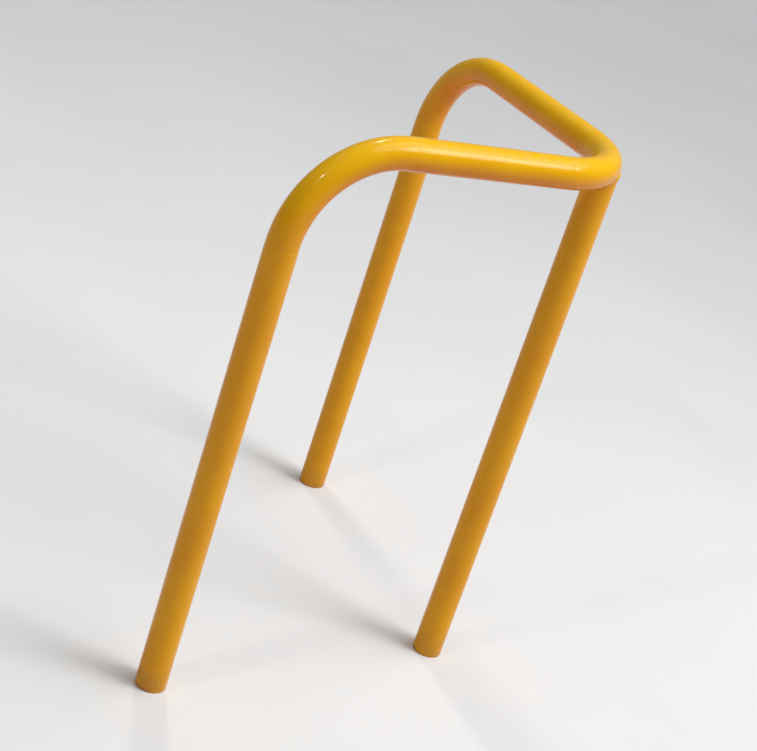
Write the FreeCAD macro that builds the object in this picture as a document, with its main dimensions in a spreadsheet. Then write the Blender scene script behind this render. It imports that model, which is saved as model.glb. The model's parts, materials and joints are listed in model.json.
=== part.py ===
"""Three-legged corner hoop guard, millimetres, +Z up.

One round steel tube is bent three times: up from the left leg, along the left arm, round the
corner, along the rear arm and down to the rear leg. A third, straight leg stands under the
middle of the corner bend and is welded to it round a saddle cut. Each leg is closed by a
steel disc, set a little way up the bore and held by a ring of weld.

The frame: the origin is on the floor, at the middle of the guard's footprint. The left arm
runs along -X from the corner, the rear arm runs along +Y from the corner.
"""
import FreeCAD, Part
import math
import os
import Sketcher

DOC = FreeCAD.newDocument("CornerHoopGuard")

# ---------------------------------------------------------------- driving dimensions
DIMENSIONS = {
    "tube_diameter": 48.3,    # outside diameter of the rail and of all three legs
    "wall_thickness": 3.2,    # wall of the same tube
    "overall_height": 900,    # floor to the top of the rail
    "arm_reach": 570,         # corner point, where the arms' centre lines meet, to an end leg
    "bend_radius": 150,       # centre-line radius of all three bends
    "root_gap": 0.2,          # fit-up gap between the saddle cut and the rail
    "ear_trim": 8,            # the saddle's two ears stop this far below the rail's axis
    "weld_size": 5,           # how far the corner weld stands out from either tube
    "disc_thickness": 4,      # closing disc in each foot
    "disc_recess": 3,         # the disc's lower face is this far above the tube's end
    "disc_fit": 0.25,         # radial gap between disc and bore
    "vent_diameter": 6,       # hole in each disc, lets air out in the coating oven
    "foot_weld_size": 2.5,    # leg length of the ring of weld under each disc
}


def make_sheet():
    """Spreadsheet with one named cell for each driving dimension."""
    sheet = DOC.addObject("Spreadsheet::Sheet", "Sizes")
    for row, (name, value) in enumerate(DIMENSIONS.items(), start=1):
        sheet.set(f"A{row}", name)
        sheet.set(f"B{row}", str(value))
        sheet.setAlias(f"B{row}", name)
    DOC.recompute()
    return sheet


SHEET = make_sheet()

# Expressions that several sub-parts share
RAIL_LEVEL = "(Sizes.overall_height - Sizes.tube_diameter / 2)"
BORE = "(Sizes.tube_diameter - 2 * Sizes.wall_thickness)"
CORNER_X = "Sizes.arm_reach / 2"
CORNER_Y = "-Sizes.arm_reach / 2"
APEX_INSET = "Sizes.bend_radius * (1 - sqrt(0.5))"
LEG_TOP = f"({RAIL_LEVEL} - Sizes.ear_trim)"

# Where each leg stands, as expressions for X and Y
FEET = {
    "left": (f"{CORNER_X} - Sizes.arm_reach", CORNER_Y),
    "rear": (CORNER_X, f"{CORNER_Y} + Sizes.arm_reach"),
    "corner": (f"{CORNER_X} - {APEX_INSET}", f"{CORNER_Y} + {APEX_INSET}"),
}
DIAGONAL_TURN = -45.0     # turns local +X outwards along the diagonal through the corner

ORIGIN = -1               # Sketcher's number for the sketch origin and horizontal axis
START = 1                 # Sketcher's numbers for a curve's start, end and centre points
END = 2
CENTRE = 3


# ---------------------------------------------------------------- small helpers
def new_body(label):
    """Empty PartDesign body named after its sub-part."""
    body = DOC.addObject("PartDesign::Body", label)
    body.Label = label
    return body


def place(item, x, y, z="0", turn=0.0):
    """Bind an object's position to expressions, after a fixed turn about Z."""
    axis = FreeCAD.Vector(0, 0, 1)
    item.Placement = FreeCAD.Placement(FreeCAD.Vector(), FreeCAD.Rotation(axis, turn))
    item.setExpression("Placement.Base.x", x)
    item.setExpression("Placement.Base.y", y)
    item.setExpression("Placement.Base.z", z)


def new_sketch(body, name, plane_role):
    """Sketch attached to one of the body's own origin planes."""
    sketch = body.newObject("Sketcher::SketchObject", name)
    plane = next(item for item in body.Origin.OriginFeatures if item.Role == plane_role)
    sketch.AttachmentSupport = (plane, [""])
    sketch.MapMode = "FlatFace"
    return sketch


def value_of(expression):
    """Number that an expression of sheet cells gives now."""
    return float(SHEET.evalExpression(expression))


def dimension(sketch, kind, *items, size):
    """Add a dimensional constraint and bind it to an expression."""
    index = sketch.addConstraint(Sketcher.Constraint(kind, *items, value_of(size)))
    sketch.setExpression(f"Constraints[{index}]", size)


def offset_from_origin(sketch, kind, curve, point, side, size):
    """Hold a point at a distance on the plus (side 1) or minus (side -1) side of the origin."""
    ends = [(ORIGIN, START), (curve, point)]
    if side < 0:
        ends.reverse()
    (first, first_point), (second, second_point) = ends
    dimension(sketch, kind, first, first_point, second, second_point, size=size)


def circle(sketch, diameter, x=0.0, y=0.0):
    """Circle of a bound diameter, drawn round a starting point; returns its number."""
    disc = Part.Circle(FreeCAD.Vector(x, y, 0), FreeCAD.Vector(0, 0, 1), value_of(diameter) / 2)
    index = sketch.addGeometry(disc, False)
    dimension(sketch, "Diameter", index, size=diameter)
    return index


def ring(sketch, x=0.0, y=0.0):
    """The tube's section: outer circle and bore on one centre; returns the outer circle."""
    outer = circle(sketch, "Sizes.tube_diameter", x, y)
    inner = circle(sketch, BORE, x, y)
    sketch.addConstraint(Sketcher.Constraint("Coincident", inner, CENTRE, outer, CENTRE))
    return outer


def centre_on_origin(sketch, curve):
    """Hold a circle's centre on the sketch origin."""
    sketch.addConstraint(Sketcher.Constraint("Coincident", curve, CENTRE, ORIGIN, START))


def upright_axis(sketch, side, distance, low, high):
    """Construction line, parallel to the sketch's Y, at a distance from its origin."""
    x = side * value_of(distance)
    line = Part.LineSegment(FreeCAD.Vector(x, low, 0), FreeCAD.Vector(x, high, 0))
    index = sketch.addGeometry(line, True)
    sketch.addConstraint(Sketcher.Constraint("Vertical", index))
    offset_from_origin(sketch, "DistanceX", index, START, side, distance)


# ---------------------------------------------------------------- rail tube
def leg_and_arm_path(body, name, plane_role, side):
    """Centre line of an end leg, its bend and its arm, up to the corner bend."""
    reach = value_of("Sizes.arm_reach")
    radius = value_of("Sizes.bend_radius")
    level = value_of(RAIL_LEVEL)
    sketch = new_sketch(body, name, plane_role)

    def point(x, y):
        return FreeCAD.Vector(side * x, y, 0)

    quarter = math.pi / 2
    first_angle = 0.0 if side > 0 else quarter
    bend = Part.Circle(point(reach - radius, level - radius), FreeCAD.Vector(0, 0, 1), radius)
    leg = sketch.addGeometry(Part.LineSegment(point(reach, 0), point(reach, level - radius)))
    arc = sketch.addGeometry(Part.ArcOfCircle(bend, first_angle, first_angle + quarter))
    arm = sketch.addGeometry(Part.LineSegment(point(reach - radius, level), point(radius, level)))

    leg_point, arm_point = (START, END) if side > 0 else (END, START)
    sketch.addConstraint(Sketcher.Constraint("Tangent", leg, END, arc, leg_point))
    sketch.addConstraint(Sketcher.Constraint("Tangent", arc, arm_point, arm, START))
    sketch.addConstraint(Sketcher.Constraint("Vertical", leg))
    sketch.addConstraint(Sketcher.Constraint("Horizontal", arm))
    sketch.addConstraint(Sketcher.Constraint("PointOnObject", leg, START, ORIGIN))
    dimension(sketch, "Radius", arc, size="Sizes.bend_radius")
    dimension(sketch, "DistanceY", ORIGIN, START, arm, START, size=RAIL_LEVEL)
    offset_from_origin(sketch, "DistanceX", leg, START, side, "Sizes.arm_reach")
    offset_from_origin(sketch, "DistanceX", arm, END, side, "Sizes.bend_radius")
    return sketch


def sweep_leg_and_arm(body, name, plane_role, side):
    """Tube section at the foot, carried up the leg and along the arm."""
    path = leg_and_arm_path(body, f"{name}_path", plane_role, side)
    section = new_sketch(body, f"{name}_section", "XY_Plane")
    reach = value_of("Sizes.arm_reach")
    along_x = plane_role == "XZ_Plane"
    x, y = (side * reach, 0.0) if along_x else (0.0, side * reach)
    outer = ring(section, x, y)
    along, across = ("DistanceX", "DistanceY") if along_x else ("DistanceY", "DistanceX")
    offset_from_origin(section, along, outer, CENTRE, side, "Sizes.arm_reach")
    offset_from_origin(section, across, outer, CENTRE, 1, "0")
    pipe = body.newObject("PartDesign::AdditivePipe", f"{name}_pipe")
    pipe.Profile = section
    pipe.Spine = path
    DOC.recompute()


def make_rail_tube():
    """The bent tube, drawn about the point on the floor below the arms' crossing."""
    body = new_body("rail_tube")
    place(body, CORNER_X, CORNER_Y)
    sweep_leg_and_arm(body, "left_arm", "XZ_Plane", -1)

    section = new_sketch(body, "corner_bend_section", "YZ_Plane")
    section.setExpression("AttachmentOffset.Base.z", "-Sizes.bend_radius")
    level = value_of(RAIL_LEVEL)
    outer = ring(section, 0.0, level)
    dimension(section, "DistanceX", ORIGIN, START, outer, CENTRE, size="0")
    dimension(section, "DistanceY", ORIGIN, START, outer, CENTRE, size=RAIL_LEVEL)
    upright_axis(section, 1, "Sizes.bend_radius", 0.0, level)
    bend = body.newObject("PartDesign::Revolution", "corner_bend")
    bend.Profile = section
    bend.ReferenceAxis = (section, ["Axis0"])
    bend.Angle = 90.0
    DOC.recompute()

    sweep_leg_and_arm(body, "rear_arm", "YZ_Plane", 1)
    return body


# ---------------------------------------------------------------- corner leg
def make_corner_leg():
    """Straight leg under the middle of the corner bend, its top cut to the rail's round."""
    body = new_body("corner_leg")
    x, y = FEET["corner"]
    place(body, x, y, turn=DIAGONAL_TURN)

    section = new_sketch(body, "corner_leg_section", "XY_Plane")
    centre_on_origin(section, ring(section))
    pad = body.newObject("PartDesign::Pad", "corner_leg_pad")
    pad.Profile = section
    pad.setExpression("Length", LEG_TOP)
    DOC.recompute()

    cope = new_sketch(body, "saddle_section", "XZ_Plane")
    level = value_of(RAIL_LEVEL)
    clearance = circle(cope, "Sizes.tube_diameter + 2 * Sizes.root_gap", 0.0, level)
    dimension(cope, "DistanceX", ORIGIN, START, clearance, CENTRE, size="0")
    dimension(cope, "DistanceY", ORIGIN, START, clearance, CENTRE, size=RAIL_LEVEL)
    upright_axis(cope, -1, "Sizes.bend_radius", 0.0, level)
    saddle = body.newObject("PartDesign::Groove", "saddle_cut")
    saddle.Profile = cope
    saddle.ReferenceAxis = (cope, ["Axis0"])
    saddle.Angle = 360.0
    DOC.recompute()
    return body


# ---------------------------------------------------------------- corner weld
def leg_cylinder(name, radius, height):
    """Cylinder on the corner leg's axis."""
    item = DOC.addObject("Part::Cylinder", name)
    item.setExpression("Radius", radius)
    item.setExpression("Height", height)
    x, y = FEET["corner"]
    place(item, x, y, turn=DIAGONAL_TURN)
    return item


def bend_torus(name, radius):
    """Full ring on the corner bend's centre line."""
    item = DOC.addObject("Part::Torus", name)
    item.setExpression("Radius1", "Sizes.bend_radius")
    item.setExpression("Radius2", radius)
    centre_x = f"{CORNER_X} - Sizes.bend_radius"
    centre_y = f"{CORNER_Y} + Sizes.bend_radius"
    place(item, centre_x, centre_y, RAIL_LEVEL, turn=DIAGONAL_TURN)
    return item


def boolean(kind, name, base, tool):
    """Part boolean of two objects."""
    item = DOC.addObject(kind, name)
    item.Base = base
    item.Tool = tool
    return item


def make_corner_weld():
    """Bead round the saddle: what lies close to both tubes and inside neither."""
    reach = "Sizes.tube_diameter / 2 + Sizes.weld_size"
    round_leg = leg_cylinder("weld_round_leg", reach, f"{LEG_TOP} + Sizes.weld_size")
    round_rail = bend_torus("weld_round_rail", reach)
    blank = boolean("Part::Common", "weld_blank", round_leg, round_rail)
    leg = leg_cylinder("weld_leg_cutter", "Sizes.tube_diameter / 2", LEG_TOP)
    outside_leg = boolean("Part::Cut", "weld_outside_leg", blank, leg)
    rail = bend_torus("weld_rail_cutter", "Sizes.tube_diameter / 2")
    weld = boolean("Part::Cut", "corner_weld", outside_leg, rail)
    weld.Label = "corner_weld"
    DOC.recompute()
    return weld


# ---------------------------------------------------------------- foot closures
def make_end_disc(leg):
    """Disc with a vent hole that closes one leg, a little above the floor."""
    body = new_body(f"{leg}_end_disc")
    x, y = FEET[leg]
    place(body, x, y, "Sizes.disc_recess")
    section = new_sketch(body, f"{leg}_disc_section", "XY_Plane")
    centre_on_origin(section, circle(section, f"{BORE} - 2 * Sizes.disc_fit"))
    centre_on_origin(section, circle(section, "Sizes.vent_diameter"))
    pad = body.newObject("PartDesign::Pad", f"{leg}_disc_pad")
    pad.Profile = section
    pad.setExpression("Length", "Sizes.disc_thickness")
    DOC.recompute()
    return body


def make_end_weld(leg):
    """Ring of fillet weld in the angle between a disc's lower face and the bore."""
    body = new_body(f"{leg}_end_weld")
    x, y = FEET[leg]
    place(body, x, y, "Sizes.disc_recess")
    bore_radius = f"{BORE} / 2"
    radius = value_of(bore_radius)
    size = value_of("Sizes.foot_weld_size")
    section = new_sketch(body, f"{leg}_weld_section", "XZ_Plane")
    corners = [(radius, 0.0), (radius - size, 0.0), (radius, -size)]
    for first, second in zip(corners, corners[1:] + corners[:1]):
        line = Part.LineSegment(FreeCAD.Vector(*first, 0), FreeCAD.Vector(*second, 0))
        section.addGeometry(line)
    top, slope, wall = range(len(corners))
    section.addConstraint(Sketcher.Constraint("Coincident", top, END, slope, START))
    section.addConstraint(Sketcher.Constraint("Coincident", slope, END, wall, START))
    section.addConstraint(Sketcher.Constraint("Coincident", wall, END, top, START))
    section.addConstraint(Sketcher.Constraint("PointOnObject", top, START, ORIGIN))
    section.addConstraint(Sketcher.Constraint("Horizontal", top))
    section.addConstraint(Sketcher.Constraint("Vertical", wall))
    section.addConstraint(Sketcher.Constraint("Equal", top, wall))
    offset_from_origin(section, "DistanceX", top, START, 1, bore_radius)
    dimension(section, "DistanceY", slope, END, wall, END, size="Sizes.foot_weld_size")
    bead = body.newObject("PartDesign::Revolution", f"{leg}_weld_bead")
    bead.Profile = section
    bead.ReferenceAxis = (section, ["V_Axis"])
    bead.Angle = 360.0
    DOC.recompute()
    return body


# ---------------------------------------------------------------- build and check
def check_volumes(parts):
    """Compare the bent tube with its section times its length, and see that the cope cut."""
    section = math.pi / 4 * (value_of("Sizes.tube_diameter") ** 2 - value_of(BORE) ** 2)
    radius = value_of("Sizes.bend_radius")
    upright = value_of(RAIL_LEVEL) - radius
    arm = value_of("Sizes.arm_reach") - 2 * radius
    length = 2 * (upright + arm) + 3 * radius * math.pi / 2
    rail = parts["rail_tube"].Shape.Volume
    print(f"rail tube: volume {rail:.0f}, section times length {section * length:.0f}")
    if abs(rail / (section * length) - 1) > 0.001:
        raise RuntimeError("the rail tube's volume is not its section times its length")
    full_leg = section * value_of(LEG_TOP)
    leg = parts["corner_leg"].Shape.Volume
    print(f"corner leg: volume {leg:.0f}, before the saddle cut {full_leg:.0f}")
    if leg > full_leg - section:
        raise RuntimeError("the saddle cut removed nothing")


def check_parts(parts):
    """Stop if any object failed or any sub-part isn't one valid solid."""
    for item in DOC.Objects:
        if "Invalid" in item.State or "Error" in item.State:
            raise RuntimeError(f"{item.Name} did not compute: {item.State}")
    for label, item in parts.items():
        if item.Shape.isNull() or not item.Shape.isValid():
            raise RuntimeError(f"{label} has no valid shape")
        if len(item.Shape.Solids) != 1:
            raise RuntimeError(f"{label} is {len(item.Shape.Solids)} solids")
    check_volumes(parts)


def write_parts(parts):
    """One STEP file for each sub-part, named after its label."""
    os.makedirs("parts", exist_ok=True)
    for label, item in parts.items():
        item.Shape.exportStep(f"parts/{label}.step")
        box = item.Shape.optimalBoundingBox(True, False)
        size = f"{box.XLength:.1f} x {box.YLength:.1f} x {box.ZLength:.1f}"
        print(f"{label}: {size}, z from {box.ZMin:.1f} to {box.ZMax:.1f}")


def build():
    """Make every sub-part, check them all, then write them."""
    made = [make_rail_tube(), make_corner_leg(), make_corner_weld()]
    for leg in FEET:
        made.append(make_end_disc(leg))
        made.append(make_end_weld(leg))
    DOC.recompute()
    parts = {item.Label: item for item in made}
    check_parts(parts)
    write_parts(parts)


build()
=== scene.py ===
# %% [markdown]
# A corner hoop guard in glossy yellow: one round steel tube bent three times, a third leg welded
# under the corner bend, and a steel disc closing each foot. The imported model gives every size
# and place. The surfaces that are seen are made again here with the small things that a plain
# tube lacks: bends that flattened a little, marks where the bending die gripped, a rippled weld.

# %% Load the frame
import json
import math
import bmesh
import bpy
import numpy as np
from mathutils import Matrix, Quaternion, Vector


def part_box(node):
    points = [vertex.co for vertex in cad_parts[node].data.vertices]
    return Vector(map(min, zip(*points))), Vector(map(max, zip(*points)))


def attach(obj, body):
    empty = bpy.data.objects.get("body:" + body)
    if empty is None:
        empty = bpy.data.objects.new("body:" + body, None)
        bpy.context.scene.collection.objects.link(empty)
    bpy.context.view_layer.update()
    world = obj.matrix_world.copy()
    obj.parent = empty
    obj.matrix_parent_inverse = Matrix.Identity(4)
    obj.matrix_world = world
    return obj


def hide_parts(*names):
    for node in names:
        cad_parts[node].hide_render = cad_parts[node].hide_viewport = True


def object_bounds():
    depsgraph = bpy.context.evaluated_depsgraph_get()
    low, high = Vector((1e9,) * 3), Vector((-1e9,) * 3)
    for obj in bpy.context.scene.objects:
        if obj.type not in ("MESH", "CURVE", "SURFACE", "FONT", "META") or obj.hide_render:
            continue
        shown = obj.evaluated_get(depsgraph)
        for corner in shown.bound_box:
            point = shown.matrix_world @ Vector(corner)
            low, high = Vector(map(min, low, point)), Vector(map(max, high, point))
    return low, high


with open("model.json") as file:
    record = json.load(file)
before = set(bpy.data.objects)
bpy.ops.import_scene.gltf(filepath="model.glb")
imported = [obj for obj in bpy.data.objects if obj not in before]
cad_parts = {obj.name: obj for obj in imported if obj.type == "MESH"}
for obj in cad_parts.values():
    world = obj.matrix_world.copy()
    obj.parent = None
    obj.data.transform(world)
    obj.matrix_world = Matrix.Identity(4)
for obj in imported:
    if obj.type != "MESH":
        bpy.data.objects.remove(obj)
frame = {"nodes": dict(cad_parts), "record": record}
CAD_BOX = [list(corner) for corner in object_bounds()]
print("CAD box", CAD_BOX)

# %% [markdown]
# The record names each end leg's straight length as a mount, with its radius and its middle. The
# rail's height and the bends' radius follow from those and from the top of the rail's box, so
# no length has to be typed in twice.

# %% Sizes of the tube
MM = 0.001
MOUNTS = {mount["name"]: mount for mount in frame["record"]["mounts"]}
LEFT_LEG = MOUNTS["left_leg_spigot"]
STATED_R = LEFT_LEG["dims"]["r_mm"] * MM
SLIMMER = 0.08 * MM     # to stay inside the model's faceted walls
TUBE_R = STATED_R - SLIMMER
LEG_STRAIGHT = LEFT_LEG["dims"]["length_mm"] * MM
RAIL_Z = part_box("rail_tube")[1].z - STATED_R
BEND_R = RAIL_Z - LEG_STRAIGHT
print(f"tube radius {TUBE_R:.5f}, rail axis at {RAIL_Z:.4f}, bend radius {BEND_R:.4f}")


# %% Places of the feet
def middle(node):
    """Middle of a CAD node's box."""
    low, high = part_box(node)
    return (np.array(low) + np.array(high)) / 2


FEET = {leg: middle(f"{leg}_end_disc")[:2] for leg in ("left", "rear", "corner")}
REACH = FEET["rear"][0] - FEET["left"][0]
BORE_R = (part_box("left_end_weld")[1].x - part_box("left_end_weld")[0].x) / 2
DISC_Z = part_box("left_end_disc")[0].z
print(f"reach {REACH:.4f}, bore radius {BORE_R:.5f}, discs {DISC_Z:.4f} above the floor")

# %% [markdown]
# A bent tube is a circle carried along a centre line: four straight runs joined by three quarter
# turns. It could be a curve object with a round bevel, but a bevel keeps one shape all the way
# along, and here the round has to change in the bends. So the centre line is a formula, and every
# ring of points is placed from it. Two directions travel with the line and never twist: on the
# arms "over" is up and "aside" is out of the corner.

# %% Stretches of the centre line
X = np.array([1.0, 0.0, 0.0])
Y = np.array([0.0, 1.0, 0.0])
Z = np.array([0.0, 0.0, 1.0])
QUARTER = BEND_R * math.pi / 2
ARM_STRAIGHT = REACH - 2 * BEND_R
STRETCHES = [LEG_STRAIGHT, QUARTER, ARM_STRAIGHT, QUARTER, ARM_STRAIGHT, QUARTER, LEG_STRAIGHT]
INWARDS = {1: X, 3: Y, 5: -Z}       # which way the centre of each bend lies
STARTS = np.concatenate([[0.0], np.cumsum(STRETCHES)])
RAIL_LENGTH = STARTS[-1]
BEND_STARTS = STARTS[1:-1:2]
print(f"centre line {RAIL_LENGTH:.4f} m, bends start at {np.round(BEND_STARTS, 4)}")


# %% A point on the centre line
def straight(place, start, forward, over, aside):
    """Straight stretch: the start plus place times the forward direction."""
    return start + place * forward, over + 0 * place, aside + 0 * place, forward


def turning(place, start, forward, over, aside, inward):
    """Bend: the angle is place over radius, and every direction turns by it towards inward."""
    cosine, sine = np.cos(place / BEND_R), np.sin(place / BEND_R)

    def turned(direction):
        ahead, across = direction @ forward, direction @ inward
        rest = direction - ahead * forward - across * inward
        along = cosine * forward + sine * inward
        square = cosine * inward - sine * forward
        return rest + ahead * along + across * square

    point = start + BEND_R * (sine * forward + (1 - cosine) * inward)
    return point, turned(over), turned(aside), inward


def rail_at(distance):
    """Centre line at an array of distances from the left foot: points, over and aside."""
    found = np.zeros((3, len(distance), 3))
    start, forward, over, aside = np.array([*FEET["left"], 0.0]), Z, -X, -Y
    for number, length in enumerate(STRETCHES):
        bend = (INWARDS[number],) if number in INWARDS else ()
        rule = turning if bend else straight
        here = distance >= STARTS[number]
        place = (distance[here] - STARTS[number])[:, None]
        found[:, here] = rule(place, start, forward, over, aside, *bend)[:3]
        end = np.array([[length]])
        start, over, aside, forward = rule(end, start, forward, over, aside, *bend)
        start, over, aside = start[0], over[0], aside[0]
    return found


print("rear foot at", np.round(rail_at(np.array([RAIL_LENGTH]))[0], 4))

# %% [markdown]
# Drawing a tube round a die pulls its outer side flat and crowds its inner side into faint
# waves. The die's clamp leaves a shallow ring where a bend starts and ends. All of this is under
# a millimetre, but gloss paint shows it, because the long highlight breaks there. Each change
# takes away from the true circle, so the tube never grows past its real size.

# %% What bending did to the round
FLAT_OUTER = 0.034      # share of the radius lost on the outer side of a bend
FLAT_INNER = 0.014      # and on the inner side
WAVE_DEPTH = 0.12 * MM  # crowding waves on the inner side
WAVE_PITCH = 13 * MM
GRIP_DEPTH = 0.24 * MM  # ring left by the clamp
GRIP_WIDTH = 2.4 * MM
RUN_IN = 30 * MM        # length over which the flattening comes and goes
EARLY = 0.4             # share of that length which lies outside the bend


def smooth_step(values):
    """0 below 0, 1 above 1, and an S curve between."""
    clipped = np.clip(values, 0.0, 1.0)
    return clipped * clipped * (3 - 2 * clipped)


def wall_loss(distance, angle):
    """How far the wall lies inside the true circle, at distances along and angles round.
    The outer side of the corner bend is at a quarter turn, that of the others at nought."""
    loss = np.zeros(np.broadcast_shapes(distance.shape, angle.shape))
    for start, share in zip(BEND_STARTS, (np.cos(angle), np.sin(angle), np.cos(angle))):
        inside = distance - start
        held = smooth_step(inside / RUN_IN + EARLY)
        held *= smooth_step((QUARTER - inside) / RUN_IN + EARLY)
        outer, inner = np.clip(share, 0, None) ** 2, np.clip(-share, 0, None) ** 2
        waves = WAVE_DEPTH * (0.5 + 0.5 * np.cos(2 * math.pi * inside / WAVE_PITCH))
        loss += held * (TUBE_R * (FLAT_OUTER * outer + FLAT_INNER * inner) + waves * inner ** 2)
        for edge in (inside, QUARTER - inside):
            loss += GRIP_DEPTH * np.exp(-(edge / GRIP_WIDTH) ** 2)
    return loss


# %% [markdown]
# Rings are close together where the surface changes: fine beside each end of a bend, medium
# round it, and wide apart on the straights. At a cut end the wall turns in with a small round,
# because the edge was deburred before coating, and then runs back through the bore.

# %% Rings along a tube wall
AROUND = 88             # points in a ring
BEND_STEP = 2.8 * MM    # spacing of the rings in a bend
STRAIGHT_STEP = 14 * MM
MARK_RINGS = 9          # rings a millimetre apart on each side of a bend's ends
INNER_RINGS = 160       # rings in the rail's bore
LIP = 0.9 * MM          # radius of the deburred edge
LIP_ROWS = 5            # rows of points over it


def outer_places():
    """Distances of the rings on the rail's outside."""
    steps = []
    for number, length in enumerate(STRETCHES):
        count = round(length / (BEND_STEP if number in INWARDS else STRAIGHT_STEP))
        steps.append(STARTS[number] + np.linspace(0, length, count, endpoint=False))
    beside = np.arange(-MARK_RINGS, MARK_RINGS + 1) * MM
    marks = [edge + beside for start in BEND_STARTS for edge in (start, start + QUARTER)]
    places = np.unique(np.round(np.concatenate(steps + marks), 6))
    return places[(places > LIP * 1.5) & (places < RAIL_LENGTH - LIP * 1.5)]


def wall_profile(outer, inner, length):
    """Distances and radii all round a tube's wall: out, over the edge, back inside, and over."""
    angle = np.linspace(0, math.pi / 2, LIP_ROWS)
    deep, shy = LIP * (1 - np.sin(angle)), LIP * (1 - np.cos(angle))
    distance = [outer, length - deep, length - deep[::-1], inner[::-1], deep, deep[::-1]]
    radius = [np.full(len(outer), TUBE_R), TUBE_R - shy, BORE_R + shy[::-1]]
    radius += [np.full(len(inner), BORE_R), BORE_R + shy, TUBE_R - shy[::-1]]
    return np.concatenate(distance), np.concatenate(radius)


# %% [markdown]
# A grid of points becomes a mesh when each point is joined to its neighbours. A tube wall is a
# grid that closes both ways, round the tube and round its wall, so it has no open edge and no
# pole. A weld bead is the same thing with a small section. One function makes them all, and its
# UV map is in metres along and around the surface, for marks that follow the tube.

# %% Grid to mesh
def new_piece(name, points, faces, smooth=True):
    """Mesh object at the origin, from points and the numbers of each face's corners."""
    mesh = bpy.data.meshes.new(name)
    mesh.from_pydata(points.reshape(-1, 3), [], faces)
    mesh.polygons.foreach_set("use_smooth", np.full(len(faces), smooth))
    piece = bpy.data.objects.new(name, mesh)
    bpy.context.scene.collection.objects.link(piece)
    return piece


def stretch_round(values, axis):
    """Repeat the first row after the last, moved on by one step, to close a measured lap."""
    last, before = np.take(values, [-1], axis), np.take(values, [-2], axis)
    return np.concatenate([values, 2 * last - before], axis)


def closed_grid(name, points, around, along):
    """Mesh from points[ring, step], closed both ways; around and along give its UV map."""
    rings, steps = points.shape[:2]
    ring, step = np.meshgrid(np.arange(rings), np.arange(steps), indexing="ij")
    offsets = [(0, 0), (0, 1), (1, 1), (1, 0)]
    faces = [((ring + a) % rings * steps + (step + b) % steps).ravel() for a, b in offsets]
    piece = new_piece(name, points, np.stack(faces, 1))
    wide, far = stretch_round(around, 1), np.concatenate([along, along[-1:]], 0)
    uv = [np.stack([wide[ring, step + b], far[ring + a, step]], -1) for a, b in offsets]
    layer = piece.data.uv_layers.new(name="surface")
    layer.data.foreach_set("uv", np.stack([corner.reshape(-1, 2) for corner in uv], 1).ravel())
    print(f"{name}: {rings} rings of {steps}, {2 * ring.size} triangles")
    return piece


def tube_angles():
    """Angles round a tube, starting on its under or inner side, where a UV seam hides."""
    return math.pi + np.arange(AROUND) * 2 * math.pi / AROUND


def rounds(centre, over, aside, angle, radius):
    """Ring points: the centre plus radius times (cos angle over plus sin angle aside)."""
    wall = np.cos(angle)[..., None] * over[:, None] + np.sin(angle)[..., None] * aside[:, None]
    return centre[:, None] + radius[..., None] * wall


# %% Bent rail
def make_rail():
    """The rail's wall, a closed profile carried along the bent centre line."""
    outer = outer_places()
    inner = np.linspace(LIP * 2, RAIL_LENGTH - LIP * 2, INNER_RINGS)
    distance, radius = wall_profile(outer, inner, RAIL_LENGTH)
    angle = tube_angles()
    grown = np.tile(radius[:, None], (1, AROUND))
    grown[:len(outer)] -= wall_loss(outer[:, None], angle[None])
    points = rounds(*rail_at(distance), angle[None], grown)
    along = np.tile(distance[:, None], (1, AROUND))
    return closed_grid("bent_rail", points, np.tile(angle * TUBE_R, (len(points), 1)), along)


rail = make_rail()
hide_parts("rail_tube")
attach(rail, "root")

# %% [markdown]
# The corner leg is a straight tube whose top is cut to the rail's round, the joint that a fitter
# calls a fish mouth. Its top edge is the height at which the leg's wall meets the rail: the
# rail's axis height less the half chord of the rail's circle, where the chord's offset is how far
# that spot lies from the rail's centre line in plan.

# %% Saddle curve
OUT = (X - Y) / math.sqrt(2)        # from the bend's centre out through the corner leg
ASIDE = (X + Y) / math.sqrt(2)      # along the rail at the corner leg
CORNER = np.array([*FEET["corner"], 0.0])
EAR_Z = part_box("corner_leg")[1].z   # the saddle's two ears are cut off level here


def plan_offset(angle, radius):
    """Distance in plan from the rail's centre line, outwards, of a spot on the leg."""
    across = BEND_R + radius * np.cos(angle)
    return np.hypot(across, radius * np.sin(angle)) - BEND_R


def saddle_height(angle, radius):
    """Height at which a wall of that radius meets the underside of the rail."""
    chord = np.sqrt(np.clip(TUBE_R ** 2 - plan_offset(angle, radius) ** 2, 0, None))
    return np.minimum(RAIL_Z - chord, EAR_Z)


LEVEL_PART = 0.01       # rings up to this height stay level; above it they bend towards the cut
LEG_RINGS = 60
NEAR_CUT = [0.99, 0.995, 1.0]       # places of the last rings, the top one being the cut itself


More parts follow.
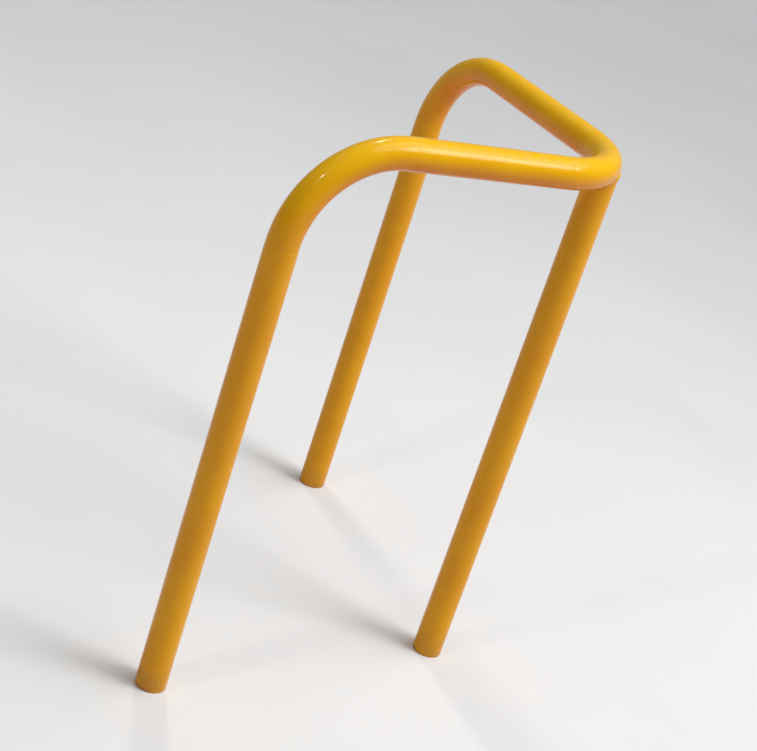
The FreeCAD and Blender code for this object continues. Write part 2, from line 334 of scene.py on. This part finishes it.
def make_corner_leg():
    """Straight wall whose rings go from level at the floor to the saddle curve at the top.
    A ring's place is its height in the level part, and above it the share of the way up."""
    shares = np.linspace(LEVEL_PART, NEAR_CUT[0], LEG_RINGS)
    places = np.concatenate([[LIP * 2, LIP * 4], shares, NEAR_CUT[1:]])
    distance, radius = wall_profile(places, places[::2], 1.0)
    top_lip = slice(len(places), len(places) + 2 * LIP_ROWS)    # the saddle has no round edge
    distance, radius = np.delete(distance, top_lip), np.delete(radius, top_lip)
    angle = tube_angles()
    top = saddle_height(angle[None], radius[:, None])
    place = distance[:, None]
    rise = np.clip((place - LEVEL_PART) / (1 - LEVEL_PART), 0, 1)
    bent = LEVEL_PART + rise * (top - LEVEL_PART)
    height = np.where(place < LEVEL_PART, place, bent)
    ring = np.tile(CORNER, (len(distance), 1))
    over, aside = np.tile(OUT, (len(ring), 1)), np.tile(ASIDE, (len(ring), 1))
    points = rounds(ring, over, aside, angle[None], np.tile(radius[:, None], (1, AROUND)))
    points[..., 2] = height
    return closed_grid("corner_post", points, np.tile(angle * TUBE_R, (len(ring), 1)), height)


corner_leg = make_corner_leg()
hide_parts("corner_leg")
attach(corner_leg, "root")

# %% [markdown]
# A hand-laid weld is a row of small frozen puddles, each overlapping the one before. Their
# front edges curve back at the sides, because the middle of the puddle freezes last. The bead is
# made as an oval section carried along the joint; its height rises slowly and drops fast along
# each puddle, a saw wave whose phase is later at the sides. Slow waves make it uneven by hand.

# %% Weld bead
SIDE_LAG = 0.55         # share of a puddle by which its sides run late
PITCH_DRIFT = 0.35      # puddles closer and wider apart, in puddles
SIZE_DRIFT = 0.10       # bead thicker and thinner
SIDE_RIPPLE = 0.6       # ripple of the sides, as a share of the top's


def hand_drift(turn, scale):
    """Slow unevenness, from -1 to 1, along a closed path measured in turns."""
    waves = [(3, 0.2, 0.5), (7, 1.7, 0.3), (13, 4.1, 0.2)]
    around = 2 * math.pi * turn
    return scale * sum(size * np.cos(count * around + late) for count, late, size in waves)


def puddles(phase, fall=0.3):
    """Saw wave of period 1: rises over most of it and falls over the last part."""
    place = phase % 1.0
    return np.where(place < 1 - fall, place / (1 - fall), (1 - place) / fall)


def unit(vectors):
    """Each vector divided by its length."""
    return vectors / np.linalg.norm(vectors, axis=-1, keepdims=True)


def weld_bead(name, path, wall_a, wall_b, width, height, pitch, ripple, steps=26):
    """Bead along a closed path where two walls meet; wall_a and wall_b are their normals.
    The section stands along the walls' middle direction, square to the path."""
    ahead = np.roll(path, -1, 0) - np.roll(path, 1, 0)
    length = np.cumsum(np.linalg.norm(ahead, axis=1) / 2)
    forward, turn = unit(ahead), (length / length[-1])[:, None]
    rise = wall_a + wall_b
    rise = unit(rise - np.sum(rise * forward, 1, keepdims=True) * forward)
    across = np.cross(forward, rise)
    angle = np.arange(steps)[None] / steps * 2 * math.pi
    count = round(length[-1] / pitch)
    phase = turn * count + hand_drift(turn, PITCH_DRIFT) - SIDE_LAG * np.sin(angle) ** 2
    swell = 1 + hand_drift(turn + 0.21, SIZE_DRIFT)
    waves = ripple * (puddles(phase) - 0.5)
    tall = height * swell + waves
    broad = width * swell + SIDE_RIPPLE * waves
    points = (path[:, None] + (tall * np.cos(angle))[..., None] * rise[:, None]
              + (broad * np.sin(angle))[..., None] * across[:, None])
    around = np.tile(angle * width, (len(path), 1))
    return closed_grid(name, points, around, np.tile(length[:, None], (1, steps)))


# %% Weld round the corner leg
WELD_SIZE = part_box("corner_leg")[0].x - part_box("corner_weld")[0].x
EAR_SINK = 0.9 * MM     # at the ears the bead sinks into the gap between the two walls
EAR_CLIMB = 0.6 * MM    # and runs just over the cut edge, on to the rail's side
EAR_ROUND = 6 * MM      # the path turns over the ear with this round
PATH_POINTS = 760
PUDDLE_PITCH = 3.1 * MM
PUDDLE_RIPPLE = 0.55 * MM


def soft_least(first, second, blend):
    """The smaller of two values, with a round corner of the given size between them."""
    gap = np.clip(blend - np.abs(first - second), 0, None)
    return np.minimum(first, second) - gap * gap / (4 * blend)


def make_corner_weld():
    """The joint's path climbs from the rail's underside to an ear on each side of the rail.
    There the two walls face nearly alike, so the bead gets flatter and broader."""
    angle = np.arange(PATH_POINTS) / PATH_POINTS * 2 * math.pi
    offset = plan_offset(angle, TUBE_R)
    drop = np.sqrt(np.clip(TUBE_R ** 2 - offset ** 2, 0, None))
    height = soft_least(RAIL_Z - drop, np.full_like(drop, EAR_Z + EAR_CLIMB), EAR_ROUND)
    leg_wall = np.cos(angle)[:, None] * OUT + np.sin(angle)[:, None] * ASIDE
    path = CORNER + TUBE_R * leg_wall + height[:, None] * Z
    from_bend = path - (CORNER - BEND_R * OUT)
    from_bend[:, 2] = 0
    rail_wall = unit(offset[:, None] * unit(from_bend) + (height - RAIL_Z)[:, None] * Z)
    likeness = np.clip(np.sum(leg_wall * rail_wall, 1, keepdims=True), 0, 1)
    path -= EAR_SINK * likeness * leg_wall
    tall = WELD_SIZE * (0.78 - 0.36 * likeness)
    broad = WELD_SIZE * (1.02 + 0.18 * likeness)
    return weld_bead("corner_bead", path, leg_wall, rail_wall, broad, tall,
                     PUDDLE_PITCH, PUDDLE_RIPPLE)


bead = make_corner_weld()
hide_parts("corner_weld")
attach(bead, "root")

# %% [markdown]
# Under each foot a smaller ring of weld holds the disc. It sits in the angle between the disc's
# lower face and the bore, so its two walls face down and inwards. It never reaches the floor.

# %% Welds under the discs
FOOT_WELD = DISC_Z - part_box("left_end_weld")[0].z
FOOT_PATH_POINTS = 300
FOOT_PITCH = 2.2 * MM
FOOT_RIPPLE = 0.3 * MM
FOOT_SECTION = 16       # points round the bead's section


def make_foot_weld(leg):
    """Ring of small puddles round the bore, just under one disc."""
    angle = np.arange(FOOT_PATH_POINTS) / FOOT_PATH_POINTS * 2 * math.pi
    outwards = np.cos(angle)[:, None] * X + np.sin(angle)[:, None] * Y
    path = np.array([*FEET[leg], DISC_Z]) + BORE_R * outwards
    down = np.tile(-Z, (len(path), 1))
    tall, broad = FOOT_WELD * 0.70, FOOT_WELD * 0.86
    return weld_bead(f"{leg}_foot_bead", path, -outwards, down, broad, tall,
                     FOOT_PITCH, FOOT_RIPPLE, FOOT_SECTION)


foot_beads = {leg: make_foot_weld(leg) for leg in FEET}
for leg, piece in foot_beads.items():
    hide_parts(f"{leg}_end_weld")
    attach(piece, "root")

# %% [markdown]
# Welding throws small drops of steel that freeze on the tubes nearby. A grinder takes off most
# of them and the coat covers the rest, so they show as a few smooth specks. They are placed by
# a short rule from a fixed seed, so every run gives the same ones.

# %% Spatter
NEAREST = 7 * MM        # from the joint to the first specks
THINNING = 9 * MM       # mean distance beyond that
SMALLEST, LARGEST = 0.35 * MM, 0.95 * MM
FLATTENED = 0.55        # height of a speck as a share of its width


def make_spatter(count=26, seed=7):
    """Flattened beads on the corner leg, thinning out downwards from the weld."""
    rng = np.random.default_rng(seed)
    ball = bmesh.new()
    bmesh.ops.create_icosphere(ball, subdivisions=2, radius=1.0)
    unit_points = np.array([vert.co[:] for vert in ball.verts])
    unit_faces = np.array([[vert.index for vert in face.verts] for face in ball.faces])
    ball.free()
    angle = rng.uniform(0, 2 * math.pi, count)
    below = NEAREST + rng.exponential(THINNING, count)
    size = rng.uniform(SMALLEST, LARGEST, count)
    wall = np.cos(angle)[:, None] * OUT + np.sin(angle)[:, None] * ASIDE
    height = saddle_height(angle, TUBE_R) - below
    centre = CORNER + TUBE_R * wall + height[:, None] * Z
    side = np.cross(Z, wall)
    flat = FLATTENED * unit_points[None, :, :1] * wall[:, None]
    spread = unit_points[None, :, 1:2] * side[:, None] + unit_points[None, :, 2:] * Z
    points = centre[:, None] + size[:, None, None] * (flat + spread)
    faces = unit_faces[None] + np.arange(count)[:, None, None] * len(unit_points)
    piece = new_piece("weld_specks", points, faces.reshape(-1, 3))
    print(f"weld_specks: {count} specks, {len(piece.data.polygons)} triangles")
    return piece


specks = make_spatter()
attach(specks, "root")

# %% [markdown]
# Materials are trees of nodes. The same few steps come up again and again, so each gets a short
# helper: plug a number or another node's output into a socket, do sums, make noise, turn a range
# into a soft mask, and mix two colours by a mask.

# %% Node helpers: sums
def plug(tree, value, socket):
    """Link an output to a socket, or set the socket's own value."""
    if isinstance(value, bpy.types.NodeSocket):
        tree.links.new(value, socket)
    else:
        socket.default_value = value


def sums(tree, operation, *values):
    """One step of arithmetic on two or three values."""
    node = tree.nodes.new("ShaderNodeMath")
    node.operation = operation
    for value, socket in zip(values, node.inputs):
        plug(tree, value, socket)
    return node.outputs[0]


def plus(tree, first, second):
    """Sum of two values."""
    return sums(tree, "ADD", first, second)


def times(tree, first, second):
    """Product of two values."""
    return sums(tree, "MULTIPLY", first, second)


def rest(tree, value):
    """What is left of 1."""
    return sums(tree, "SUBTRACT", 1.0, value)


# %% Node helpers: patterns and colours
def pattern_place(tree, kind="Object"):
    """Where a pattern is read: the frame's own coordinates, or the surface's UV map."""
    return tree.nodes.new("ShaderNodeTexCoord").outputs[kind]


def noise(tree, vector, scale, detail=2.0):
    """Smooth random values near 0.5; scale is the number of lumps in a metre."""
    node = tree.nodes.new("ShaderNodeTexNoise")
    plug(tree, vector, node.inputs["Vector"])
    plug(tree, scale, node.inputs["Scale"])
    node.inputs["Detail"].default_value = detail
    return node.outputs[0]


def mapped(tree, vector, setting, amount):
    """A vector moved or stretched by a Mapping node."""
    node = tree.nodes.new("ShaderNodeMapping")
    plug(tree, vector, node.inputs["Vector"])
    node.inputs[setting].default_value = amount
    return node.outputs[0]


def height_of(tree, vector):
    """The z part of a vector."""
    node = tree.nodes.new("ShaderNodeSeparateXYZ")
    plug(tree, vector, node.inputs[0])
    return node.outputs[2]


def mask(tree, value, low, high):
    """0 where the value is below low, 1 above high, and a soft step between."""
    node = tree.nodes.new("ShaderNodeMapRange")
    node.interpolation_type = "SMOOTHSTEP"
    plug(tree, value, node.inputs["Value"])
    plug(tree, low, node.inputs["From Min"])
    plug(tree, high, node.inputs["From Max"])
    return node.outputs[0]


def mix_colour(tree, share, first, second):
    """The first colour where share is 0, the second where it is 1."""
    node = tree.nodes.new("ShaderNodeMix")
    node.data_type = "RGBA"
    plug(tree, share, node.inputs["Factor"])
    plug(tree, first, node.inputs[6])
    plug(tree, second, node.inputs[7])
    return node.outputs[2]


def bump(tree, height, depth, below=None):
    """Normal of a surface raised by height times depth, on top of another bump if given."""
    node = tree.nodes.new("ShaderNodeBump")
    node.inputs["Distance"].default_value = depth
    plug(tree, height, node.inputs["Height"])
    if below is not None:
        plug(tree, below, node.inputs["Normal"])
    return node.outputs[0]


# %% Node helpers: groups
def new_group(name, inputs, outputs):
    """Empty shader group with named number inputs and named outputs."""
    tree = bpy.data.node_groups.new(name, "ShaderNodeTree")
    for label, value in inputs.items():
        socket = tree.interface.new_socket(name=label, in_out="INPUT",
                                           socket_type="NodeSocketFloat")
        socket.default_value = value
    for label in outputs:
        tree.interface.new_socket(name=label, in_out="OUTPUT", socket_type="NodeSocketFloat")
    print(f"group {name}: {', '.join(inputs)} in, {', '.join(outputs)} out")
    return tree, tree.nodes.new("NodeGroupInput").outputs, tree.nodes.new("NodeGroupOutput").inputs


def placed(tree, group, **values):
    """A group node in a material, with its inputs set; returns its outputs."""
    node = tree.nodes.new("ShaderNodeGroup")
    node.node_tree = group
    for label, value in values.items():
        node.inputs[label].default_value = value
    return node.outputs


# %% [markdown]
# Powder coat melts and flows before it sets, and it sets with a skin like an orange's: dimples
# two or three millimetres across, on broader swells where it ran thick and thin. The dimples
# blur the edges of a reflection and the swells make it wander. Both are one height here, for a
# Bump node. "Cloud" is where the coat is thick, which shifts its colour a little.

# %% Group: coat skin
def make_skin_group():
    """Fine dimples and broad swells as a height, and a slow cloud for colour."""
    inputs = {"Dimples": 420.0, "Swells": 62.0}
    tree, given, out = new_group("coat_skin", inputs, ["Height", "Cloud"])
    place = pattern_place(tree)
    dimples = times(tree, noise(tree, place, given["Dimples"], 1.0), 0.22)
    swells = times(tree, noise(tree, place, given["Swells"], 1.5), 0.78)
    plug(tree, plus(tree, dimples, swells), out["Height"])
    plug(tree, mask(tree, noise(tree, place, 11.0, 3.0), 0.32, 0.68), out["Cloud"])
    return tree


SKIN = make_skin_group()

# %% [markdown]
# The guards are moved and stacked inside one another, so tubes rub on tubes. That leaves hair
# lines along them and short cross rubs where one lay over another, both in patches. The pattern
# follows the surface, so it reads the UV map, which is in metres around and along.

# %% Group: rub marks
def make_rub_group():
    """Thin lines along the tube and across it, kept to patches."""
    tree, given, out = new_group("rub_marks", {"Patches": 0.62}, ["Marks"])
    surface = pattern_place(tree, "UV")
    along = noise(tree, mapped(tree, surface, "Scale", (950.0, 16.0, 1.0)), 1.0)
    cross = noise(tree, mapped(tree, surface, "Scale", (60.0, 800.0, 1.0)), 1.0)
    patch = noise(tree, pattern_place(tree), 9.0, 1.0)
    here = mask(tree, patch, given["Patches"], 0.7)
    there = mask(tree, rest(tree, patch), given["Patches"], 0.7)
    hair = times(tree, mask(tree, along, 0.66, 0.74), here)
    rubs = times(tree, mask(tree, cross, 0.64, 0.72), there)
    plug(tree, sums(tree, "MAXIMUM", hair, rubs), out["Marks"])
    return tree


RUBS = make_rub_group()

# %% [markdown]
# Wear gathers at the feet. The cut edge chips first, where the coat is thinnest and lands on
# concrete; above it the gloss is scuffed, and yard dirt climbs a few centimetres. All three are
# masks of the height above the floor broken up by noise.

# %% Group: foot wear
def make_foot_group():
    """Masks for bare metal, scuffed gloss and dirt, from the height above the floor."""
    tree, given, out = new_group("foot_wear", {"Climb": 0.075}, ["Bare", "Scuff", "Dirt"])
    place = pattern_place(tree)
    level = height_of(tree, place)
    near = rest(tree, mask(tree, level, 0.0, given["Climb"]))
    edge = rest(tree, mask(tree, level, 0.0, 0.005))

    chips = sums(tree, "MULTIPLY_ADD", edge, 0.22, noise(tree, place, 210.0, 3.0))
    chips = sums(tree, "MULTIPLY_ADD", near, 0.06, chips)
    only_low = mask(tree, near, 0.2, 0.6)
    plug(tree, times(tree, mask(tree, chips, 0.77, 0.81), only_low), out["Bare"])

    upright = mapped(tree, place, "Scale", (1.0, 1.0, 0.35))
    scuffs = mask(tree, noise(tree, upright, 120.0, 3.0), 0.50, 0.66)
    plug(tree, times(tree, scuffs, near), out["Scuff"])
    cloud = mask(tree, noise(tree, place, 26.0, 4.0), 0.30, 0.75)
    plug(tree, times(tree, cloud, sums(tree, "POWER", near, 1.6)), out["Dirt"])
    return tree


FOOT = make_foot_group()

# %% [markdown]
# The coat runs from a deep, warm tone on faces that look down to a paler one on faces that look up.
# It is a painted shade, chosen so that the arms read bright and the legs rich; it is part of the
# colour and not of the light, and stands for no weathering. Faint dust lies on the upward faces in
# a broken layer. Both are read from the surface's own normal.

# %% Group: painted light and shade by facing, and dust
def make_painted_shade_group():
    """How pale a surface is painted for the way it faces (a painted shade, deeper facing down and
    paler facing up), and the dust lying on it.
    """
    tree, given, out = new_group("painted_shade_with_dust", {"Amount": 1.0}, ["Pale", "Dust"])
    facing = height_of(tree, tree.nodes.new("ShaderNodeNewGeometry").outputs["Normal"])
    broken = mask(tree, noise(tree, pattern_place(tree), 48.0, 5.0), 0.35, 0.8)
    layer = times(tree, mask(tree, facing, 0.45, 1.0), broken)
    # Painted shade: 0 on faces that look down, rising to 1 on faces that look up.
    plug(tree, mask(tree, facing, -0.8, 1.0), out["Pale"])
    plug(tree, times(tree, layer, given["Amount"]), out["Dust"])
    return tree


PAINTED_SHADE_GROUP = make_painted_shade_group()

# %% [markdown]
# Every steel piece was coated after it was welded, so there is one finish with small changes.
# The recipe is a warm yellow with a painted shade: deeper on faces that look down and paler on
# faces that look up. Then marks, dust and dirt are laid over it, and bare steel going to rust where
# it chipped. The gloss is a soft body under a thin clear top layer, which is how coloured powder
# looks: full colour and a crisp highlight.

# %% Gloss coat colours
# A lit and a shaded copy of the coat's yellow: painted light and painted shade, mixed by the way
# each face looks.
PAINTED_LIT_YELLOW = (0.930, 0.512, 0.0040, 1.0)
PAINTED_SHADED_YELLOW = (0.640, 0.172, 0.0010, 1.0)
MARK_TONE = (0.900, 0.520, 0.050, 1.0)
DUST_TONE = (0.700, 0.560, 0.360, 1.0)
DIRT_TONE = (0.260, 0.150, 0.050, 1.0)
STEEL = (0.330, 0.320, 0.310, 1.0)
RUST = (0.190, 0.055, 0.014, 1.0)


def coat_colour(tree, skin, lit_and_dust, foot, marks, rusty):
    """The coat's yellow with a painted shade, deeper on faces that look down and paler on faces
    that look up, then each layer over it by its own mask.
    """
    # Painted shade: a deeper yellow where a face looks down, a paler one where it looks up.
    lit_share = plus(tree, lit_and_dust["Pale"], times(tree, skin["Cloud"], 0.12))
    colour = mix_colour(tree, lit_share, PAINTED_SHADED_YELLOW, PAINTED_LIT_YELLOW)
    bare = mix_colour(tree, rusty, STEEL, RUST)
    layers = [(marks, 0.35, MARK_TONE), (lit_and_dust["Dust"], 0.10, DUST_TONE),
              (foot["Scuff"], 0.20, MARK_TONE), (foot["Dirt"], 0.45, DIRT_TONE),
              (foot["Bare"], 1.0, bare)]
    for cover, strength, tint in layers:
        colour = mix_colour(tree, times(tree, cover, strength), colour, tint)
    return colour


def coat_roughness(tree, skin, lit_and_dust, foot, marks):
    """Smooth where the coat is thick, duller under each kind of wear."""
    dull = sums(tree, "MULTIPLY_ADD", skin["Cloud"], -0.05, 0.24)
    wears = [(marks, 0.26), (lit_and_dust["Dust"], 0.16), (foot["Scuff"], 0.30), (foot["Bare"], 0.32)]
    for cover, strength in wears:
        dull = sums(tree, "MULTIPLY_ADD", cover, strength, dull)
    return dull


# %% Gloss coat recipe
def gloss_coat(name, dimples=420.0, swells=62.0, skin_depth=0.10, climb=0.075, patches=0.60):
    """Coated steel: colour, roughness, metal and bump from the shared groups."""
    material = bpy.data.materials.new(name)
    material.use_nodes = True
    tree = material.node_tree
    shader = tree.nodes["Principled BSDF"]
    skin = placed(tree, SKIN, Dimples=dimples, Swells=swells)
    foot = placed(tree, FOOT, Climb=climb)
    marks = placed(tree, RUBS, Patches=patches)["Marks"]
    # Painted light and shade by the way each face looks, and the dust on upward faces.
    lit_and_dust = placed(tree, PAINTED_SHADE_GROUP)
    rusty = mask(tree, noise(tree, pattern_place(tree), 320.0, 3.0), 0.42, 0.58)

    plug(tree, coat_colour(tree, skin, lit_and_dust, foot, marks, rusty), shader.inputs["Base Color"])
    plug(tree, coat_roughness(tree, skin, lit_and_dust, foot, marks), shader.inputs["Roughness"])
    plug(tree, times(tree, foot["Bare"], rest(tree, rusty)), shader.inputs["Metallic"])
    worn = rest(tree, sums(tree, "MAXIMUM", foot["Bare"], times(tree, marks, 0.12)))
    chipped = bump(tree, worn, 0.15 * MM)
    plug(tree, bump(tree, skin["Height"], skin_depth * MM, chipped), shader.inputs["Normal"])
    shader.inputs["Specular IOR Level"].default_value = 0.08
    shader.inputs["Coat Weight"].default_value = 0.26
    shader.inputs["Coat Roughness"].default_value = 0.07
    print(f"{name}: {len(tree.nodes)} nodes")
    return material


def dress(piece, material):
    """Give a piece one material on all its faces."""
    piece.data.materials.clear()
    piece.data.materials.append(material)


# %% Coats of the tubes
dress(rail, gloss_coat("rail_coat"))
dress(corner_leg, gloss_coat("corner_post_coat", swells=58.0, patches=0.58))

# %% [markdown]
# Over a weld the powder bridges the valleys between puddles, so the coat is thick and smooth
# there: fewer dimples and slower swells than on the tube. The specks are too small for either.

# %% Coats of the welds
dress(bead, gloss_coat("bead_coat", dimples=260.0, swells=130.0, skin_depth=0.06, patches=0.66))
dress(specks, gloss_coat("speck_coat", skin_depth=0.03))
foot_bead_coat = gloss_coat("foot_bead_coat", dimples=300.0, swells=110.0,
                            skin_depth=0.05, climb=0.02)
for piece in foot_beads.values():
    dress(piece, foot_bead_coat)

# %% [markdown]
# The closing discs keep the shape they have in the model. Water leaves through the vent in the
# middle of each one, so rust bleeds outwards from it. The pattern is a distance from the disc's
# own middle, which a Mapping node moves to the pattern's origin.

# %% Coats of the closing discs
def disc_coat(leg):
    """The gloss coat with a rust bleed round the vent hole."""
    material = gloss_coat(f"{leg}_disc_coat", skin_depth=0.07, climb=0.03)
    tree = material.node_tree
    colour = tree.nodes["Principled BSDF"].inputs["Base Color"]
    coat = colour.links[0].from_socket
    centred = mapped(tree, pattern_place(tree), "Location", (-FEET[leg][0], -FEET[leg][1], -DISC_Z))
    span = tree.nodes.new("ShaderNodeVectorMath")
    span.operation = "LENGTH"
    plug(tree, centred, span.inputs[0])
    ragged = times(tree, noise(tree, centred, 240.0, 4.0), 0.012)
    bleed = rest(tree, mask(tree, plus(tree, span.outputs["Value"], ragged), 0.008, 0.016))
    plug(tree, mix_colour(tree, times(tree, bleed, 0.85), coat, RUST), colour)
    return material


for leg in FEET:
    dress(frame["nodes"][f"{leg}_end_disc"], disc_coat(leg))

# %% [markdown]
# The guard stands on a plain pale floor that runs well past the view. Its colour drifts a little
# so that it reads as a floor and not as an empty page.

# %% Floor
def make_floor(half=40.0, cells=40):
    """Flat square grid at floor level."""
    places = np.linspace(-half, half, cells + 1)
    across, along = np.meshgrid(places, places, indexing="ij")
    points = np.stack([across, along, np.zeros_like(across)], -1)
    row, column = np.meshgrid(np.arange(cells), np.arange(cells), indexing="ij")
    first = (row * (cells + 1) + column).ravel()
    faces = np.stack([first, first + cells + 1, first + cells + 2, first + 1], 1)
    return new_piece("floor", points, faces, smooth=False)


def floor_finish():
    """Pale matt screed with faint clouds."""
    material = bpy.data.materials.new("pale_floor")
    material.use_nodes = True
    tree = material.node_tree
    shader = tree.nodes["Principled BSDF"]
    cloud = mask(tree, noise(tree, pattern_place(tree), 1.3, 4.0), 0.3, 0.7)
    colour = mix_colour(tree, cloud, (0.83, 0.83, 0.83, 1.0), (0.86, 0.86, 0.86, 1.0))
    plug(tree, colour, shader.inputs["Base Color"])
    shader.inputs["Roughness"].default_value = 0.75
    return material


floor = make_floor()
dress(floor, floor_finish())

# %% [markdown]
# Gloss shows its surroundings, so the lights are chosen for their reflections. One wide panel
# stands high at the right front, where the near arm mirrors it towards the viewer: it draws the
# long soft streak along that arm, lights the right side of each leg and leaves the far arm
# deeper. A broad sun from above evens out the floor, which a panel alone would leave dark in
# places. Two small lamps make the bright spots on the bends. The room itself is dim, so the
# sides of the tubes keep their full colour.

# %% Lights
CENTRE = Vector(np.mean(CAD_BOX, 0))


def add_lamp(name, kind, place, energy, size, tint=(1.0, 1.0, 1.0)):
    """Lamp that faces the middle of the object; size is metres, or radians for a sun."""
    lamp = bpy.data.lights.new(name, kind)
    lamp.energy = energy
    lamp.color = tint
    if kind == "SUN":
        lamp.angle = size
    else:
        lamp.size = size
    holder = bpy.data.objects.new(name, lamp)
    holder.location = place
    holder.rotation_mode = "QUATERNION"
    holder.rotation_quaternion = (CENTRE - Vector(place)).to_track_quat("-Z", "Y")
    bpy.context.scene.collection.objects.link(holder)
    print(f"{name}: {energy} at {place}")


WARM = (1.0, 0.96, 0.90)
add_lamp("broad_sun", "SUN", (1.6, -0.9, 3.8), 1.50, math.radians(50))
add_lamp("front_panel", "AREA", (2.2, -2.25, 3.6), 76.0, 1.6)
add_lamp("bend_lamp", "AREA", (0.3, 1.1, 2.9), 11.0, 0.20, WARM)
add_lamp("left_lamp", "AREA", (-1.9, -0.7, 2.5), 6.0, 0.20, WARM)

world = bpy.data.worlds.new("studio")
world.use_nodes = True
world.node_tree.nodes["Background"].inputs["Color"].default_value = (0.95, 0.97, 1.0, 1.0)
world.node_tree.nodes["Background"].inputs["Strength"].default_value = 0.20
bpy.context.scene.world = world
bpy.context.scene.view_settings.view_transform = "Standard"

# %% [markdown]
# The camera is held at head height, looking down at the guard from its left front, and it is
# tilted to one side, so the legs lean to the right. It stays at a real distance, because that
# sets how fast the legs draw together downwards. The aim and the lens are then worked out from
# where the object's points fall: first turn towards the middle of the outline, then zoom until
# the outline fills most of the frame.

# %% Camera
AZIMUTH = math.radians(-33.9)
ELEVATION = math.radians(22.6)
TILT = math.radians(18.5)
DISTANCE = 2.90
FILL = 0.84
SENSOR = 36.0
AIM_ROUNDS = 3          # each turn of the camera moves the outline a little, so aim again


def points_of(piece):
    """All points of a piece's mesh."""
    points = np.empty(len(piece.data.vertices) * 3, np.float32)
    piece.data.vertices.foreach_get("co", points)
    return points.reshape(-1, 3)


def make_camera():
    """Perspective camera that looks at the outline's middle, tilted, with a fitting lens."""
    level = math.cos(ELEVATION)
    back = Vector((math.sin(AZIMUTH) * level, -math.cos(AZIMUTH) * level, math.sin(ELEVATION)))
    place = CENTRE + back * DISTANCE
    aim = CENTRE.copy()
    points = np.concatenate([points_of(rail), points_of(corner_leg)])
    for _ in range(AIM_ROUNDS):
        facing = (aim - place).to_track_quat("-Z", "Y") @ Quaternion((0, 0, 1), TILT)
        axes = np.array(facing.to_matrix())
        local = (points - np.array(place)) @ axes
        flat = local[:, :2] / -local[:, 2:]
        low, high = flat.min(0), flat.max(0)
        offset = axes[:, :2] @ ((low + high) / 2)
        aim = aim + Vector(offset * (aim - place).length)
    data = bpy.data.cameras.new("camera")
    data.sensor_width = SENSOR
    data.lens = SENSOR * FILL / float((high - low).max())
    camera = bpy.data.objects.new("camera", data)
    camera.location = place
    camera.rotation_mode = "QUATERNION"
    camera.rotation_quaternion = facing
    bpy.context.scene.collection.objects.link(camera)
    bpy.context.scene.camera = camera
    print(f"lens {data.lens:.1f} mm, outline {np.round(high - low, 4)} across and up")


make_camera()
